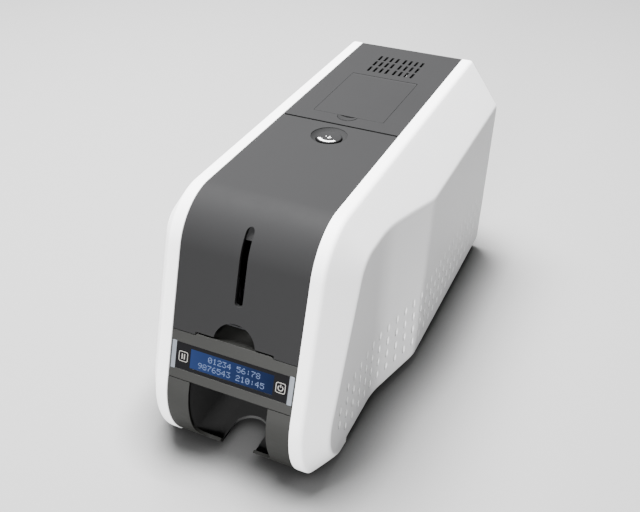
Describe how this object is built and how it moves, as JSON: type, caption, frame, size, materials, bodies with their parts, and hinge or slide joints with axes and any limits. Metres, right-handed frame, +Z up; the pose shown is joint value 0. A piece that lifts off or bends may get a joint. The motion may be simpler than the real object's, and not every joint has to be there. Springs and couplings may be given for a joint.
{
  "type": "desktop id card printer",
  "caption": "Desktop card printer with flared side covers, a hinged front cover over the print path, a display band and an output pocket below.",
  "frame": {"origin": "on the floor under the middle of the part", "axes": "+Z up, the front with its display faces -Y, the right side faces +X"},
  "size_m": [0.176, 0.3779, 0.194],
  "materials": {
    "white_shell": "fine satin texture",
    "dark_cover": "fine spark texture, satin",
    "band_plastic": "fine spark texture, satin",
    "base_plastic": "coarse texture",
    "pocket_plastic": "satin",
    "hopper_plastic": "satin",
    "button_plastic": "satin",
    "window_black": "polished",
    "key_black": "polished",
    "lcd_glass": "polished",
    "light_lens": "frosted",
    "foot_rubber": "matt",
    "roller_rubber": "ground",
    "roller_clean": "tacky, smooth",
    "belt_rubber": "matt",
    "steel_parts": "turned",
    "spring_steel": "drawn",
    "plate_steel": "zinc-plated sheet",
    "motor_steel": "satin",
    "socket_metal": "nickel-plated",
    "head_aluminium": "extruded",
    "nylon_parts": "moulded",
    "gear_nylon": "moulded",
    "gear_brass": "hobbed",
    "cassette_plastic": "moulded",
    "ribbon_black": "film",
    "board_green": "solder mask",
    "fan_black": "moulded"
  },
  "bodies": {
    "chassis": {"base_tray": "base_plastic", "left_cover": "white_shell", "right_cover": "white_shell", "rear_top_cover": "dark_cover", "rear_panel": "base_plastic", "display_band": "band_plastic", "display_window": "window_black", "lcd_module": "lcd_glass", "light_strips": "light_lens", "lower_bezel": "band_plastic", "output_pocket": "pocket_plastic", "rubber_feet": "foot_rubber", "case_screws": "steel_parts", "latch_strikers": "steel_parts", "left_frame": "plate_steel", "right_frame": "plate_steel", "tie_rods": "steel_parts", "roller_bushes": "nylon_parts", "main_board": "board_green", "rear_sockets": "socket_metal", "card_guide": "plate_steel", "card_hopper": "hopper_plastic", "drive_motor": "motor_steel", "drive_belt": "belt_rubber", "ribbon_motor": "motor_steel", "flipper_motor": "motor_steel", "ribbon_cassette": "cassette_plastic", "ribbon_film": "ribbon_black", "exit_chute": "pocket_plastic", "fan_frame": "fan_black"},
    "cover": {"front_cover": "dark_cover", "cover_hinge_pins": "steel_parts", "button_spring": "spring_steel"},
    "button": {"release_button": "button_plastic"},
    "latch": {"latch_bar": "plate_steel"},
    "hatch": {"top_hatch": "dark_cover"},
    "pause": {"pause_key": "key_black"},
    "power": {"power_key": "key_black"},
    "weight": {"card_weight": "plate_steel"},
    "pick": {"pick_roller": "roller_rubber", "pick_pulley": "nylon_parts"},
    "feed": {"feed_roller": "roller_rubber", "feed_pulley": "nylon_parts"},
    "platen": {"platen_roller": "roller_rubber", "platen_pulley": "nylon_parts"},
    "transport": {"transport_roller": "roller_rubber", "transport_pulley": "nylon_parts"},
    "cleaner": {"cleaning_roller": "roller_clean"},
    "pinch": {"pinch_roller": "roller_clean"},
    "drive": {"motor_pulley": "nylon_parts"},
    "head": {"head_bracket": "plate_steel", "print_head": "head_aluminium"},
    "supply": {"supply_spool": "ribbon_black"},
    "takeup": {"takeup_spool": "ribbon_black", "takeup_gear": "gear_nylon"},
    "ribbon_drive": {"ribbon_pinion": "gear_brass"},
    "turner": {"flipper": "hopper_plastic", "flipper_gear": "gear_nylon"},
    "turner_drive": {"flipper_pinion": "gear_brass"},
    "rotor": {"fan_rotor": "fan_black"}
  },
  "joints": [
    {"name": "cover_hinge", "type": "hinge", "parent": "chassis", "child": "cover", "pos_m": [0, 0.0108, 0.1913], "axis": [-1, 0, 0], "range_deg": [0, 75]},
    {"name": "button_press", "type": "slide", "parent": "cover", "child": "button", "axis": [0, 0, -1], "range_m": [0, 0.0025], "stiffness_N_per_m": 500, "springref_m": -0.001, "deforming": ["button_spring"]},
    {"name": "latch_turn", "type": "hinge", "parent": "cover", "child": "latch", "pos_m": [0, -0.03, 0.178], "axis": [-1, 0, 0], "range_deg": [0, 7.3]},
    {"name": "hatch_hinge", "type": "hinge", "parent": "chassis", "child": "hatch", "pos_m": [0, 0.11325, 0.1919], "axis": [-1, 0, 0], "range_deg": [0, 80]},
    {"name": "pause_press", "type": "slide", "parent": "chassis", "child": "pause", "axis": [0, 0.9466, -0.3223], "range_m": [0, 0.0006], "stiffness_N_per_m": 400, "springref_m": -0.0005},
    {"name": "power_press", "type": "slide", "parent": "chassis", "child": "power", "axis": [0, 0.9466, -0.3223], "range_m": [0, 0.0006], "stiffness_N_per_m": 400, "springref_m": -0.0005},
    {"name": "weight_lift", "type": "slide", "parent": "chassis", "child": "weight", "axis": [0, 0, 1], "range_m": [0, 0.024]},
    {"name": "platen_spin", "type": "hinge", "parent": "chassis", "child": "platen", "pos_m": [0, -0.008, 0.098], "axis": [1, 0, 0], "continuous": true},
    {"name": "pick_spin", "type": "hinge", "parent": "chassis", "child": "pick", "pos_m": [0, -0.09, 0.099], "axis": [1, 0, 0], "continuous": true},
    {"name": "feed_spin", "type": "hinge", "parent": "chassis", "child": "feed", "pos_m": [0, -0.054, 0.099], "axis": [1, 0, 0], "continuous": true},
    {"name": "transport_spin", "type": "hinge", "parent": "chassis", "child": "transport", "pos_m": [0, 0.034, 0.099], "axis": [1, 0, 0], "continuous": true},
    {"name": "drive_spin", "type": "hinge", "parent": "chassis", "child": "drive", "pos_m": [0, 0.096, 0.038], "axis": [1, 0, 0], "continuous": true},
    {"name": "cleaner_spin", "type": "hinge", "parent": "chassis", "child": "cleaner", "pos_m": [0, -0.054, 0.113], "axis": [1, 0, 0], "continuous": true},
    {"name": "pinch_spin", "type": "hinge", "parent": "chassis", "child": "pinch", "pos_m": [0, 0.034, 0.112], "axis": [1, 0, 0], "continuous": true},
    {"name": "head_lift", "type": "hinge", "parent": "chassis", "child": "head", "pos_m": [0, 0.052, 0.152], "axis": [-1, 0, 0], "range_deg": [0, 30.5]},
    {"name": "supply_spin", "type": "hinge", "parent": "chassis", "child": "supply", "pos_m": [0, -0.047, 0.141], "axis": [1, 0, 0], "continuous": true},
    {"name": "takeup_spin", "type": "hinge", "parent": "chassis", "child": "takeup", "pos_m": [0, 0.029, 0.133], "axis": [1, 0, 0], "continuous": true},
    {"name": "ribbon_drive_spin", "type": "hinge", "parent": "chassis", "child": "ribbon_drive", "pos_m": [0, 0.05067, 0.14089], "axis": [1, 0, 0], "continuous": true},
    {"name": "turner_turn", "type": "hinge", "parent": "chassis", "child": "turner", "pos_m": [0, 0.112, 0.1065], "axis": [1, 0, 0], "range_deg": [-30, 180]},
    {"name": "turner_drive_spin", "type": "hinge", "parent": "chassis", "child": "turner_drive", "pos_m": [0, 0.13581, 0.12317], "axis": [1, 0, 0], "range_deg": [-402, 68]},
    {"name": "fan_spin", "type": "hinge", "parent": "chassis", "child": "rotor", "pos_m": [0, 0.14375, 0.18], "axis": [0, 0, 1], "continuous": true}
  ],
  "couplings": [
    {"joint": "latch_turn", "follows": "button_press", "rad_per_m": 50},
    {"joint": "head_lift", "follows": "cover_hinge", "ratio": 0.4},
    {"joint": "pick_spin", "follows": "platen_spin", "ratio": 1.1429},
    {"joint": "feed_spin", "follows": "platen_spin", "ratio": 1.1429},
    {"joint": "transport_spin", "follows": "platen_spin", "ratio": 1.1429},
    {"joint": "drive_spin", "follows": "platen_spin", "ratio": 1.3333},
    {"joint": "ribbon_drive_spin", "follows": "takeup_spin", "ratio": -1.5556},
    {"joint": "turner_drive_spin", "follows": "turner_turn", "ratio": -2.2222}
  ]
}
